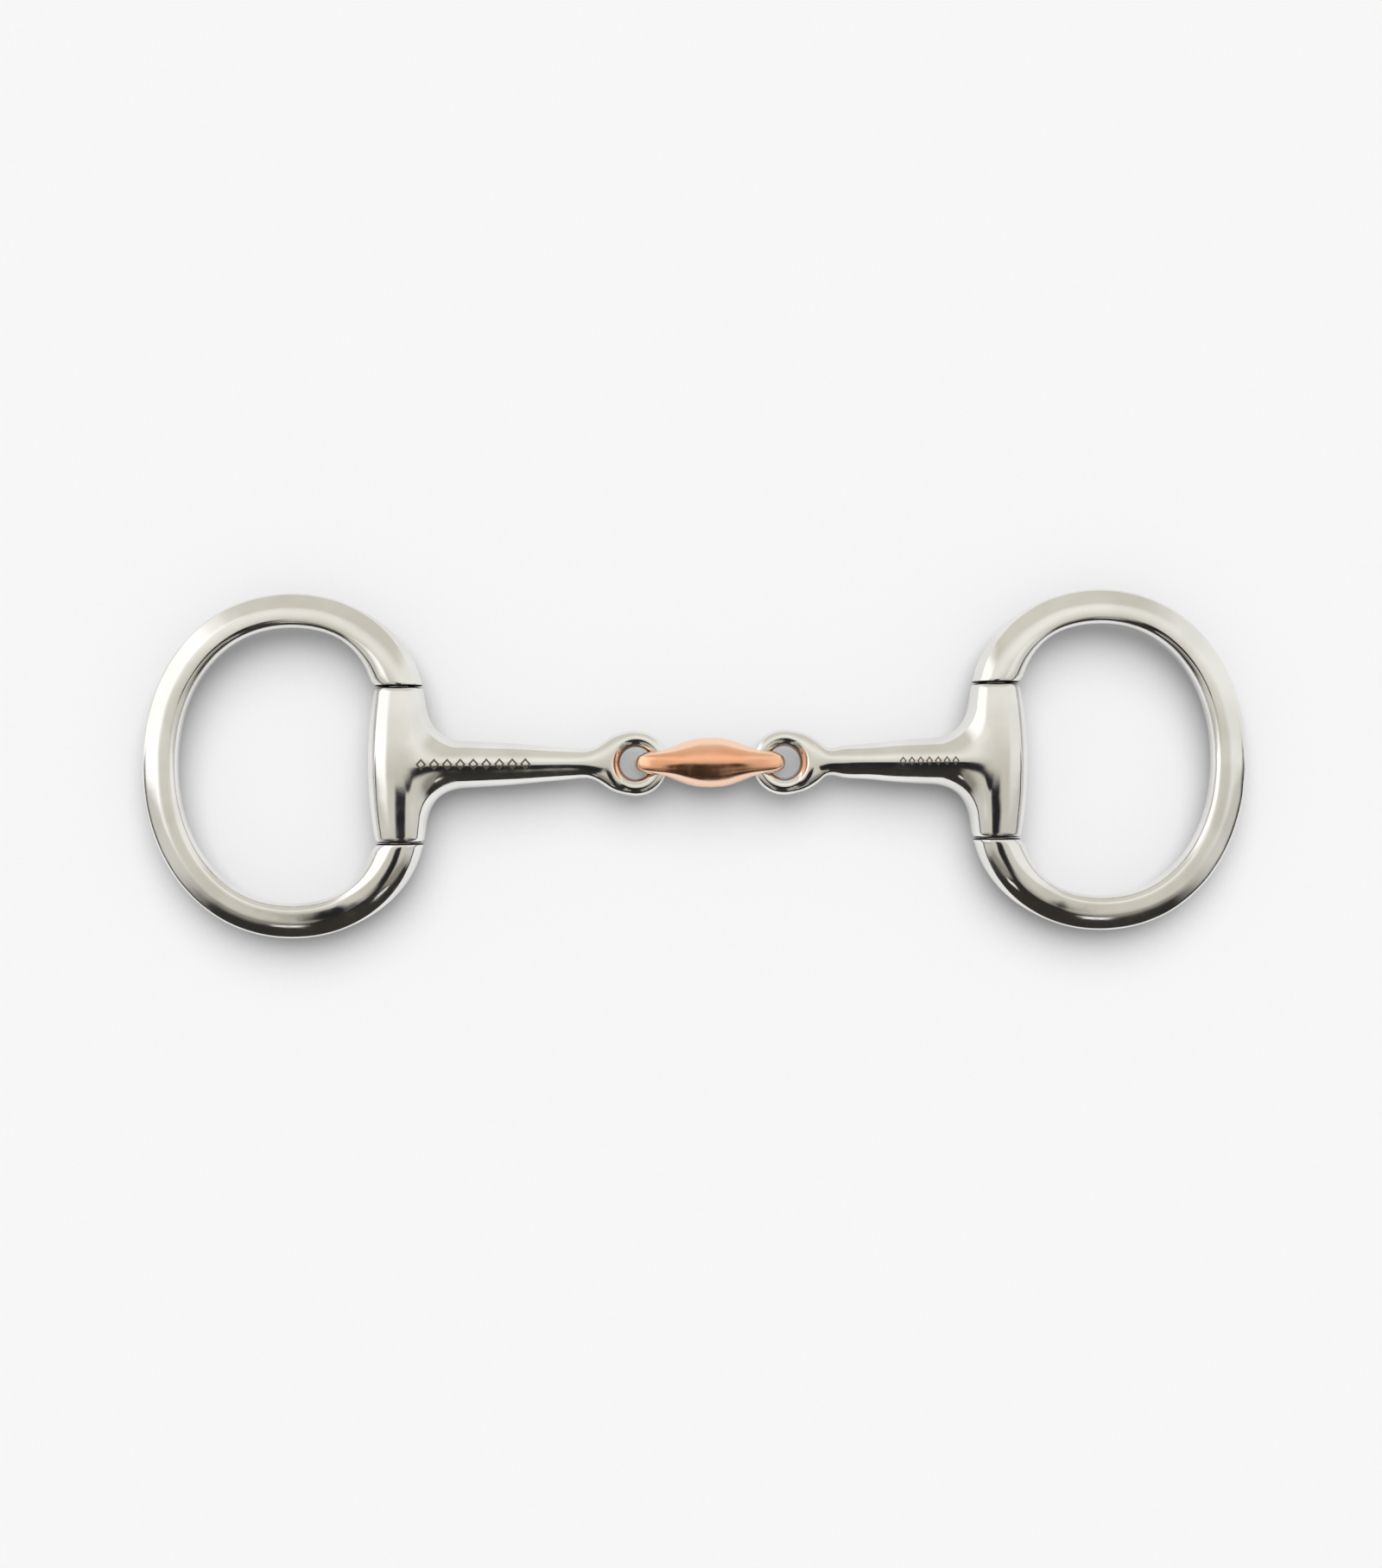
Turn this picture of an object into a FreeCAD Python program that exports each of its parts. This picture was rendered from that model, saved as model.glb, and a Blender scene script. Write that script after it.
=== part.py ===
import FreeCAD, Part
import math
import os
import Sketcher
from FreeCAD import Placement, Rotation, Vector

# Eggbutt snaffle bit with a double-jointed mouthpiece.
# X runs along the mouthpiece, Y along the hinge pins of the rings, Z out of the flat bit.
# The origin is the middle of the whole bit, half way between the far edges of the two rings.

# Driving dimensions in millimetres: alias, value, meaning.
DIMENSIONS = [
    ("lozenge_length", 38.6, "tip to tip"),
    ("lozenge_width", 12.7, "widest, along Y"),
    ("lozenge_depth", 12.7, "thickest, along Z"),
    ("lozenge_hole_offset", 12.7, "middle of the lozenge to the axis of an end hole"),
    ("eye_clearance", 0.4, "between the tube of an eye and the wall of its hole"),
    ("eye_ring_radius", 6.2, "centre of the eye to the centre of its tube"),
    ("eye_tube_radius", 2.15, "round tube of the eye"),
    ("left_arm_reach", 59.9, "hinge pin to the centre of the eye, left arm"),
    ("right_arm_reach", 54.3, "hinge pin to the centre of the eye, right arm"),
    ("arm_root_height", 13.0, "arm inside the barrel, along Y"),
    ("arm_root_depth", 13.0, "the same along Z"),
    ("arm_middle_height", 10.7, "arm at half reach, along Y"),
    ("arm_middle_depth", 10.4, "the same along Z"),
    ("arm_neck_height", 7.6, "arm before the eye, along Y"),
    ("arm_neck_depth", 6.7, "the same along Z"),
    ("arm_root_fillet", 5.0, "rounding between arm and barrel"),
    ("barrel_length", 39.3, "end face to end face"),
    ("barrel_end_radius", 6.1, "barrel at its ends"),
    ("barrel_middle_radius", 7.9, "barrel at its middle"),
    ("barrel_edge_fillet", 0.6, "rounding of the barrel's end edges"),
    ("barrel_gap", 0.3, "between a barrel end and a ring butt"),
    ("pin_radius", 2.5, "hinge pin"),
    ("pin_clearance", 0.05, "radial, pin to barrel bore"),
    ("pin_press", 0.01, "radial interference, pin in the sockets of the ring"),
    ("pin_chamfer", 0.4, "ends of the hinge pin"),
    ("socket_depth", 6.0, "blind hole for the pin in each butt"),
    ("socket_end_gap", 0.2, "left behind the end of the pin"),
    ("ring_half_height", 43.6, "outer edge of the loop, along Y"),
    ("ring_reach", 64.5, "hinge pin to the far outer edge"),
    ("ring_half_span", 37.6, "half of the loop's oval, along X"),
    ("ring_band", 8.9, "width of the loop's section"),
    ("ring_crest", 3.8, "half depth of the loop at its crest"),
    ("butt_radius", 6.1, "round end of the ring"),
    ("butt_blend", 24.0, "length over which the butt becomes the loop"),
    ("butt_edge_fillet", 0.5, "rounding of the butt's end edge"),
]

# Section of the ring's loop, from the thin outer edge over the crest to the inner wall.
# Each point: its angle on the round butt, then across the band and deep, as parts of their halves.
LOOP_SECTION = [
    (0, 1.00, 0.00),
    (9, 0.99, 0.195),
    (30, 0.93, 0.35),
    (50, 0.60, 0.635),
    (69, 0.20, 0.89),
    (80, 0.01, 0.95),
    (91, -0.245, 0.99),
    (103, -0.52, 1.00),
    (127, -0.78, 0.915),
    (145, -0.90, 0.76),
    (160, -0.97, 0.54),
    (172, -0.997, 0.26),
    (180, -1.00, 0.00),
]
OVAL_POWER = 0.952          # 1 would make the loop an ellipse; less makes it fuller
OVAL_DEGREES = (66, 90, 114, 138, 160)  # where the path follows the oval, from the upper shoulder
SHOULDER_DEGREES = 44       # where it leaves the oval, and how far it is pulled in from it there,
SHOULDER_PULL = (-0.12, -0.06)          # as parts of the butt's radius
HALF_RING_SECTIONS = 13
BUTT_TILT_DEG = 12.0        # lean of the ring's path at its ends
BUTT_OVERRUN = 1.5          # length of path that is trimmed off each end

# Outline of the lozenge seen along Z: place along its half length and half width, as parts of each.
LOZENGE_OUTLINE = [
    (0.00, 1.000),
    (0.18, 0.960),
    (0.35, 0.830),
    (0.52, 0.645),
    (0.66, 0.535),
    (0.78, 0.475),
    (0.88, 0.410),
    (0.94, 0.335),
    (0.98, 0.220),
    (0.996, 0.110),
]
LOZENGE_END_POWER = 3.0     # fullness of its ends seen along Y

# An arm from its barrel to its neck: place along the reach, then the shares of its root, middle
# and neck sizes in its own.
ARM_TAPER = [
    (0.00, 1.00, 0.00, 0.00),
    (0.18, 0.80, 0.20, 0.00),
    (0.35, 0.38, 0.62, 0.00),
    (0.50, 0.00, 0.92, 0.08),
    (0.63, 0.00, 0.45, 0.55),
    (0.74, 0.00, 0.08, 0.92),
    (0.81, 0.00, 0.00, 1.00),
]

# Flare of an arm into its eye: distance before the eye's centre and half height, as parts of the
# eye's outer radius, then half depth as a part of the tube's radius.
EYE_FLARE = [
    (1.07, 0.622, 1.25),
    (0.78, 0.760, 1.05),
    (0.49, 0.880, 0.97),
    (0.30, 0.935, 0.88),
]

# Places across a hole of the lozenge where its flare is set, in millimetres.
HOLE_STATIONS = (-3.4, -2.5, -1.5, 0.0, 1.5, 2.5, 3.4)
HOLE_OVERRUN = 3.0

# Places along a barrel's half length where its swelling is set.
BARREL_STATIONS = (-1, -0.66, -0.33, 0, 0.33, 0.66, 1)

BOX_SLACK = 0.2             # a curved edge's box is a little larger than the edge
RIM_SHARE = 1.5             # an end's outer edge is wider than this many of its radii
TOOL_OVERRUN = 1.0          # a bore's tool stands out this far at each end

ALONG_X = Rotation(Vector(0, 1, 0), Vector(0, 0, 1), Vector(1, 0, 0), "ZXY")
ALONG_X_UPRIGHT = Rotation(Vector(0, 0, 1), Vector(0, -1, 0), Vector(1, 0, 0), "ZXY")
ALONG_Y = Rotation(Vector(1, 0, 0), Vector(0, 0, -1), Vector(0, 1, 0), "ZXY")

doc = FreeCAD.newDocument("snaffle_bit")


# ---- small helpers -------------------------------------------------------------------------

def make_sheet():
    """Put the driving dimensions into the document's spreadsheet."""
    table = doc.addObject("Spreadsheet::Sheet", "Sizes")
    for row, (alias, value, meaning) in enumerate(DIMENSIONS, start=1):
        table.set(f"A{row}", meaning)
        table.set(f"B{row}", str(value))
        table.setAlias(f"B{row}", alias)
    doc.recompute()
    return table


sheet = make_sheet()


def size(alias):
    """Value of one driving dimension."""
    return float(sheet.get(alias))


def bind(item, **expressions):
    """Bind properties to the sheet. A double underscore in a name stands for a dot."""
    for name, expression in expressions.items():
        item.setExpression(name.replace("__", "."), expression)


def add(kind, name, turn=None, **expressions):
    """A new object with its turn and bound properties."""
    item = doc.addObject(kind, name)
    if turn is not None:
        item.Placement = Placement(Vector(), turn)
    bind(item, **expressions)
    return item


def ellipse(name, turn, major, minor, **place):
    return add("Part::Ellipse", name, turn, MajorRadius=major, MinorRadius=minor, **place)


def loft(name, sections):
    """A solid through closed sections."""
    item = doc.addObject("Part::Loft", name)
    item.Sections = sections
    item.Solid = True
    item.MaxDegree = 3
    return item


def cut(name, base, tool):
    item = doc.addObject("Part::Cut", name)
    item.Base = base
    item.Tool = tool
    return item


def fuse(name, shapes):
    item = doc.addObject("Part::MultiFuse", name)
    item.Shapes = shapes
    return item


def cylinder_along_y(name, radius, length, **place):
    """A cylinder centred on the XZ plane."""
    return add("Part::Cylinder", name, ALONG_Y, Radius=radius, Height=length,
               Placement__Base__y=f"-({length}) / 2", **place)


def fillet(name, base, radius, wanted):
    """Round each edge of the base for which wanted(edge) is true."""
    doc.recompute()
    item = doc.addObject("Part::Fillet", name)
    item.Base = base
    numbers = [n for n, edge in enumerate(base.Shape.Edges, start=1) if wanted(edge)]
    if not numbers:
        raise RuntimeError(f"{name}: no edge to round")
    item.Edges = [(n, radius, radius) for n in numbers]
    return item


def lies_at_y(edge, distance):
    """True for an edge in one of the two planes that are this far from the XZ plane."""
    box = edge.BoundBox
    return box.YLength < BOX_SLACK and abs(abs(box.Center.y) - distance) < BOX_SLACK


def smooth(part):
    """Ease from 0 to 1, level at both ends."""
    part = min(max(part, 0.0), 1.0)
    return part * part * (3 - 2 * part)


def place(item, label, x, turned=False):
    """Name a finished sub-part and put it where it belongs; x is an expression."""
    item.Label = label
    turn = Rotation(Vector(0, 0, 1), 180 if turned else 0)
    item.Placement = Placement(Vector(), turn)
    bind(item, Placement__Base__x=x)
    return item


# The lozenge's middle lies off the origin by half of the difference between the two arms.
LOZENGE_X = "(Sizes.left_arm_reach - Sizes.right_arm_reach) / 2"
EYE_OFFSET = "Sizes.lozenge_hole_offset + Sizes.eye_ring_radius"
LEFT_PIN_X = f"{LOZENGE_X} - ({EYE_OFFSET}) - Sizes.left_arm_reach"
RIGHT_PIN_X = f"{LOZENGE_X} + {EYE_OFFSET} + Sizes.right_arm_reach"


# ---- lozenge -------------------------------------------------------------------------------

def lozenge_section(number, part, width):
    """One upright oval across the lozenge."""
    deep = (1 - abs(part) ** LOZENGE_END_POWER) ** (1 / LOZENGE_END_POWER)
    return ellipse(f"lozenge_section_{number}", ALONG_X_UPRIGHT,
                   f"Sizes.lozenge_depth / 2 * {deep}", f"Sizes.lozenge_width / 2 * {width}",
                   Placement__Base__x=f"Sizes.lozenge_length / 2 * {part}")


def lozenge_hole(side, sign):
    """Tool for one end hole: a bore that flares towards the tip, as the eye's tube curves away."""
    circles = []
    reach = "Sizes.eye_clearance + Sizes.eye_tube_radius"
    stations = [(HOLE_STATIONS[0] - HOLE_OVERRUN, HOLE_STATIONS[0])]
    stations += [(y, y) for y in HOLE_STATIONS]
    stations += [(HOLE_STATIONS[-1] + HOLE_OVERRUN, HOLE_STATIONS[-1])]
    for number, (y, y_flare) in enumerate(stations):
        opening = f"sqrt(pow(Sizes.eye_ring_radius - Sizes.eye_tube_radius; 2) - pow({y_flare}; 2))"
        tip_side = f"(Sizes.eye_ring_radius - {opening} + Sizes.eye_clearance)"
        radius = f"({tip_side} + {reach}) / 2"
        shift = f"({tip_side} - ({reach})) / 2"
        circles.append(ellipse(
            f"lozenge_{side}_hole_{number}", ALONG_Y, radius, radius,
            Placement__Base__x=f"{sign}1 * (Sizes.lozenge_hole_offset + {shift})",
            Placement__Base__y=f"{y}"))
    return loft(f"lozenge_{side}_hole", circles)


def make_lozenge():
    """Copper link: an oval body that thins to a tongue at each end, with a hole across each."""
    mirrored = [(-part, width) for part, width in reversed(LOZENGE_OUTLINE[1:])]
    sections = [lozenge_section(number, part, width)
                for number, (part, width) in enumerate(mirrored + LOZENGE_OUTLINE)]
    body = loft("lozenge_body", sections)
    holes = fuse("lozenge_holes", [lozenge_hole("left", "-"), lozenge_hole("right", "+")])
    return place(cut("lozenge", body, holes), "lozenge", LOZENGE_X)


# ---- mouthpiece arms -----------------------------------------------------------------------

def arm_sections(side):
    """Ovals across one arm, from the hinge pin to the eye, in the arm's own frame."""
    reach = f"Sizes.{side}_arm_reach"
    sections = []
    for number, (part, *shares) in enumerate(ARM_TAPER):
        def half(way):
            terms = [f"{share} * Sizes.arm_{kind}_{way}"
                     for share, kind in zip(shares, ("root", "middle", "neck"))]
            return f"({' + '.join(terms)}) / 2"
        sections.append(ellipse(f"{side}_arm_section_{number}", ALONG_X, half("height"),
                                half("depth"), Placement__Base__x=f"{reach} * {part}"))
    eye = "(Sizes.eye_ring_radius + Sizes.eye_tube_radius)"
    for number, (before, high, deep) in enumerate(EYE_FLARE):
        sections.append(ellipse(f"{side}_eye_section_{number}", ALONG_X, f"{eye} * {high}",
                                f"Sizes.eye_tube_radius * {deep}",
                                Placement__Base__x=f"{reach} - {eye} * {before}"))
    return sections


def make_barrel(side):
    """The barrel, thickest at its middle."""
    circles = []
    for number, part in enumerate(BARREL_STATIONS):
        swell = 1 - part * part
        radius = f"Sizes.barrel_end_radius + " \
                 f"(Sizes.barrel_middle_radius - Sizes.barrel_end_radius) * {swell}"
        circles.append(ellipse(f"{side}_barrel_section_{number}", ALONG_Y, radius, radius,
                               Placement__Base__y=f"Sizes.barrel_length / 2 * {part}"))
    return loft(f"{side}_barrel", circles)


def meets_barrel(edge):
    """True for the edges where an arm leaves its barrel."""
    box = edge.BoundBox
    barrel = size("barrel_middle_radius")
    beside = box.XMin > 0 and box.XMax < barrel + BOX_SLACK
    return beside and box.YLength > barrel and box.ZLength > BOX_SLACK


def make_arm(side, label, x, turned):
    """One casting: barrel, tapering arm and eye."""
    reach = f"Sizes.{side}_arm_reach"
    opening = add("Part::Cylinder", f"{side}_eye_opening", Radius="Sizes.eye_ring_radius",
                  Height="Sizes.arm_root_height * 2", Placement__Base__x=reach,
                  Placement__Base__z="-Sizes.arm_root_height")
    shank = cut(f"{side}_shank", loft(f"{side}_taper", arm_sections(side)), opening)
    blank = fuse(f"{side}_blank", [make_barrel(side), shank])
    rounded = fillet(f"{side}_blank_rounded", blank, size("arm_root_fillet"), meets_barrel)
    eye = add("Part::Torus", f"{side}_eye", Radius1="Sizes.eye_ring_radius",
              Radius2="Sizes.eye_tube_radius", Placement__Base__x=reach)
    bore = cylinder_along_y(f"{side}_bore", "Sizes.pin_radius + Sizes.pin_clearance",
                            f"Sizes.barrel_length + 2 * {TOOL_OVERRUN}")
    bored = cut(f"{side}_bored", fuse(f"{side}_with_eye", [rounded, eye]), bore)
    end = size("barrel_length") / 2
    rim = size("barrel_end_radius") * RIM_SHARE
    finished = fillet(f"{side}_arm_finished", bored, size("barrel_edge_fillet"),
                      lambda edge: lies_at_y(edge, end) and edge.BoundBox.XLength > rim)
    return place(finished, label, x, turned)


# ---- rings ---------------------------------------------------------------------------------

def ring_path():
    """Middle line of a ring from its upper butt round to its lower one, about the hinge pin."""
    centre = size("ring_half_span") - size("ring_reach")
    half_band = size("ring_band") / 2
    across = size("ring_half_span") - half_band
    up = size("ring_half_height") - half_band
    seam = size("barrel_length") / 2 + size("barrel_gap")

    def oval(degrees):
        angle = math.radians(degrees)
        return Vector(centre + across * math.copysign(abs(math.cos(angle)) ** OVAL_POWER,
                                                      math.cos(angle)),
                      up * abs(math.sin(angle)) ** OVAL_POWER, 0)

    lean = math.radians(BUTT_TILT_DEG)
    out = Vector(-math.sin(lean), math.cos(lean), 0)
    start = Vector(0, seam, 0) - out * BUTT_OVERRUN
    shoulder = oval(SHOULDER_DEGREES) + Vector(*SHOULDER_PULL, 0) * size("butt_radius")
    upper = [start, shoulder] + [oval(degrees) for degrees in OVAL_DEGREES]
    lower = [Vector(point.x, -point.y, 0) for point in reversed(upper)]
    path = Part.BSplineCurve()
    path.interpolate(Points=upper + [oval(180)] + lower)
    return path.toShape()


def ring_section(point, outward, share):
    """Closed section of the ring; share is 0 on the round butt and 1 on the loop."""
    half_band = size("ring_band") / 2
    crest = size("ring_crest")
    butt = size("butt_radius")
    upper = []
    for degrees, across, deep in LOOP_SECTION:
        angle = math.radians(degrees)
        wide = (1 - share) * butt * math.cos(angle) + share * half_band * across
        tall = (1 - share) * butt * math.sin(angle) + share * crest * deep
        upper.append(point + outward * wide + Vector(0, 0, tall))
    lower = [Vector(corner.x, corner.y, -corner.z) for corner in reversed(upper[1:-1])]
    outline = Part.BSplineCurve()
    outline.interpolate(Points=upper + lower, PeriodicFlag=True)
    return Part.Wire([outline.toShape()])


def make_loop(side):
    """Body of a ring: a loft through its upper half and its mirror image, the ends overlong."""
    path = ring_path()
    sections = []
    for number in range(HALF_RING_SECTIONS):
        along = path.Length / 2 * number / (HALF_RING_SECTIONS - 1)
        parameter = path.getParameterByLength(along)
        forward = path.tangentAt(parameter)
        outward = Vector(forward.y, -forward.x, 0)
        share = smooth((along - BUTT_OVERRUN) / size("butt_blend"))
        item = doc.addObject("Part::Feature", f"{side}_ring_section_{number}")
        item.Shape = ring_section(path.valueAt(parameter), outward, share)
        sections.append(item)
    upper = loft(f"{side}_upper_loop", sections)
    lower = doc.addObject("Part::Mirroring", f"{side}_lower_loop")
    lower.Source = upper
    lower.Normal = Vector(0, 1, 0)
    return fuse(f"{side}_loop", [upper, lower])


def make_ring(side, label, x, turned):
    """Oval ring with two round butts, flat at the barrel's ends and bored for the pin."""
    seam = "(Sizes.barrel_length / 2 + Sizes.barrel_gap)"
    wide = "Sizes.butt_radius * 4"
    trim = add("Part::Box", f"{side}_seam_block", Length=wide, Width=f"{seam} * 2", Height=wide,
               Placement__Base__x=f"-({wide}) / 2", Placement__Base__y=f"-{seam}",
               Placement__Base__z=f"-({wide}) / 2")
    trimmed = cut(f"{side}_loop_trimmed", make_loop(side), trim)
    sockets = cylinder_along_y(f"{side}_sockets", "Sizes.pin_radius - Sizes.pin_press",
                               f"({seam} + Sizes.socket_depth) * 2")
    bored = cut(f"{side}_loop_bored", trimmed, sockets)
    plane = size("barrel_length") / 2 + size("barrel_gap")
    rim = size("butt_radius") * RIM_SHARE
    finished = fillet(f"{side}_ring_finished", bored, size("butt_edge_fillet"),
                      lambda edge: lies_at_y(edge, plane) and edge.BoundBox.XLength > rim)
    return place(finished, label, x, turned)


# ---- hinge pins ----------------------------------------------------------------------------

def origin_plane(body, role):
    return next(item for item in body.Origin.OriginFeatures if item.Role == role)


def make_pin(side, label, x):
    """Round bar with chamfered ends, its middle on the mouthpiece."""
    body = doc.addObject("PartDesign::Body", f"{side}_pin")
    sketch = body.newObject("Sketcher::SketchObject", f"{side}_pin_circle")
    sketch.AttachmentSupport = (origin_plane(body, "XZ_Plane"), [""])
    sketch.MapMode = "FlatFace"
    circle = Part.Circle(Vector(0, 0, 0), Vector(0, 0, 1), size("pin_radius"))
    sketch.addGeometry(circle, False)
    sketch.addConstraint(Sketcher.Constraint("Coincident", 0, 3, -1, 1))
    sketch.addConstraint(Sketcher.Constraint("Radius", 0, size("pin_radius")))
    sketch.setExpression("Constraints[1]", "Sizes.pin_radius")
    bar = body.newObject("PartDesign::Pad", f"{side}_pin_bar")
    bar.Profile = sketch
    bar.Midplane = True
    bind(bar, Length="Sizes.barrel_length + 2 * (Sizes.barrel_gap + Sizes.socket_depth"
                     " - Sizes.socket_end_gap)")
    doc.recompute()
    chamfer = body.newObject("PartDesign::Chamfer", f"{side}_pin_ends")
    rims = [f"Edge{n}" for n, edge in enumerate(bar.Shape.Edges, start=1)
            if edge.BoundBox.YLength < 0.01]
    chamfer.Base = (bar, rims)
    bind(chamfer, Size="Sizes.pin_chamfer")
    return place(body, label, x)


# ---- the whole bit -------------------------------------------------------------------------

def build():
    return [
        make_lozenge(),
        make_arm("left", "left_mouthpiece_arm", LEFT_PIN_X, False),
        make_arm("right", "right_mouthpiece_arm", RIGHT_PIN_X, True),
        make_ring("left", "left_ring", LEFT_PIN_X, False),
        make_ring("right", "right_ring", RIGHT_PIN_X, True),
        make_pin("left", "left_hinge_pin", LEFT_PIN_X),
        make_pin("right", "right_hinge_pin", RIGHT_PIN_X),
    ]


def check(sub_parts):
    """Stop before anything is written if an object failed or a sub-part isn't one sound solid."""
    for item in doc.Objects:
        if {"Invalid", "Error"} & set(item.State):
            raise RuntimeError(f"{item.Name}: {item.State}")
    for item in sub_parts:
        shape = item.Shape
        if shape.isNull() or not shape.isValid() or len(shape.Solids) != 1:
            raise RuntimeError(f"{item.Label}: unsound shape")


sub_parts = build()
doc.recompute()
check(sub_parts)
os.makedirs("parts", exist_ok=True)
for item in sub_parts:
    item.Shape.exportStep(f"parts/{item.Label}.step")
    box = item.Shape.BoundBox
    print(f"{item.Label}: x {box.XMin:.2f} to {box.XMax:.2f}, y {box.YMin:.2f} to {box.YMax:.2f}, "
          f"z {box.ZMin:.2f} to {box.ZMax:.2f}, volume {item.Shape.Volume:.0f}")
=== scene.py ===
import math

import bpy
import numpy as np
from mathutils import Matrix, Vector


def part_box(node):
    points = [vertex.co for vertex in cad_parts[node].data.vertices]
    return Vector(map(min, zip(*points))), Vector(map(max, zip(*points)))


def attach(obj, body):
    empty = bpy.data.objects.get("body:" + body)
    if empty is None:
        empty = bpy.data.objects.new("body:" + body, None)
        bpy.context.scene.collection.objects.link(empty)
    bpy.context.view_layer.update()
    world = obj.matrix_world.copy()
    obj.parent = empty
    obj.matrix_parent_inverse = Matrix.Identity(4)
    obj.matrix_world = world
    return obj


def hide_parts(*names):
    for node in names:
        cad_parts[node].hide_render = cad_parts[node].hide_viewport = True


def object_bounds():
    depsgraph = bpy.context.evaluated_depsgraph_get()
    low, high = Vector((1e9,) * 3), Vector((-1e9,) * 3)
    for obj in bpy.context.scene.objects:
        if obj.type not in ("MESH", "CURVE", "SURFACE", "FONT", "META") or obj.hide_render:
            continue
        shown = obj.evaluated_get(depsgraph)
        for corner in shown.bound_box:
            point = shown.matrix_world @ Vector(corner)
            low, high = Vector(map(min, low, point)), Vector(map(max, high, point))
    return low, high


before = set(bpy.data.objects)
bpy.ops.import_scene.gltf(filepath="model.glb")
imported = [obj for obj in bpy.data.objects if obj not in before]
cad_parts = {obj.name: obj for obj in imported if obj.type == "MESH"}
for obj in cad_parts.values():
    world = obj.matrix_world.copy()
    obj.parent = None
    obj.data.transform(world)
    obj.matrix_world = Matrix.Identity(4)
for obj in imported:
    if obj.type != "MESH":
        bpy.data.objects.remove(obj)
CAD_LOW, CAD_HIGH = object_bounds()

# Lengths below are in millimetres unless a name says otherwise; Blender's are in metres.
MM = 0.001


def box_mm(node):
    """Lowest and highest corner of a CAD node, in millimetres."""
    low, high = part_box(node)
    return np.array(low) / MM, np.array(high) / MM


# ---- sizes read from the frame -------------------------------------------------------------

LEFT_PIN = box_mm("left_hinge_pin")
LEFT_ARM = box_mm("left_mouthpiece_arm")
RIGHT_ARM = box_mm("right_mouthpiece_arm")
LEFT_RING = box_mm("left_ring")
LOZENGE = box_mm("lozenge")

PIN_X = -(LEFT_PIN[1][0] + LEFT_PIN[0][0]) / 2
PIN_RADIUS = (LEFT_PIN[1][0] - LEFT_PIN[0][0]) / 2
BARREL_HALF = LEFT_ARM[1][1]
BARREL_MIDDLE = LEFT_ARM[1][2]
RING_HALF_HEIGHT = LEFT_RING[1][1]
RING_REACH = -LEFT_RING[0][0] - PIN_X
LOZENGE_CENTRE = (LOZENGE[0] + LOZENGE[1]) / 2
LOZENGE_HALF = (LOZENGE[1] - LOZENGE[0]) / 2

# ---- sizes that the frame's boxes don't tell ------------------------------------------------

EYE_RING_RADIUS = 6.2
EYE_TUBE_RADIUS = 2.15
EYE_OUTER = EYE_RING_RADIUS + EYE_TUBE_RADIUS
EYE_SLACK = 0.4             # between the eye's tube and the wall of its hole
EYE_MOUTH_EDGE = 0.3
EYE_BLENDS = (0.6, 3.0)     # rounding between shank and eye, beside the eye's centre and before it
HOLE_FLARE_HALF = 3.4       # the holes of the lozenge flare up to here, along Y
HOLE_EDGE = 0.9
ROOT_BLENDS = (0.1, 9.1)    # rounding between barrel and shank: least and most
NECK_SQUARENESS = 0.8
LOZENGE_SQUARENESS = 1.2
BARREL_END = 6.1
BARREL_EDGE = 0.6
BARREL_GAP = 0.3
BARREL_POWER = 2.3          # 2 would make the barrel round; more makes it squarer
BORE_EDGE = 0.4
PIN_CLEARANCE = 0.05
BUTT_RADIUS = 6.1
BUTT_EDGE = 0.5
BUTT_BLEND = 24.0
BUTT_SQUARED = 5.0          # length over which a butt's end turns square to its pin
SOCKET_DEPTH = 6.0
RING_BAND = 8.9
RING_CREST = 3.8
RING_HALF_SPAN = 37.6
RING_OVAL_POWER = 0.952
OVAL_DEGREES = (66, 90, 114, 138, 160)  # where the path follows the oval, from the upper shoulder
SHOULDER_DEGREES = 44       # where it leaves the oval, and how far it is pulled in from it there,
SHOULDER_PULL = (0.12, 0.06)            # as parts of the butt's radius
FLOOR_GAP = 0.05

# Hinge pin to the centre of the eye, and the lozenge's middle to the axis of its end holes.
REACH = {
    "left": PIN_X + LEFT_ARM[1][0] - EYE_OUTER,
    "right": PIN_X - RIGHT_ARM[0][0] - EYE_OUTER,
}
HOLE_OFFSET = LOZENGE_CENTRE[0] - (LEFT_ARM[1][0] - EYE_OUTER + EYE_RING_RADIUS)

# An arm's half height and half depth from its root to its neck, at places along its reach.
ARM_TAPER = [
    (0.00, 6.50, 7.82),
    (0.08, 6.42, 7.55),
    (0.18, 6.27, 6.90),
    (0.35, 5.79, 5.88),
    (0.50, 5.20, 5.04),
    (0.63, 4.50, 4.25),
    (0.74, 3.92, 3.55),
    (0.81, 3.95, 3.18),
]
# The same on its flare into the eye: distance before the eye's centre, half height, half depth.
EYE_FLARE = [
    (8.9, 5.05, 2.92),
    (6.5, 6.30, 2.66),
    (4.1, 7.35, 2.38),
    (2.5, 7.80, 2.15),
]

# Half width of the lozenge along its half length, as parts of each.
LOZENGE_OUTLINE = [
    (0.00, 1.000),
    (0.18, 0.960),
    (0.35, 0.830),
    (0.52, 0.645),
    (0.66, 0.535),
    (0.78, 0.475),
    (0.88, 0.410),
    (0.94, 0.335),
    (0.98, 0.220),
    (1.00, 0.080),
]
LOZENGE_END_POWER = 3.0

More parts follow.
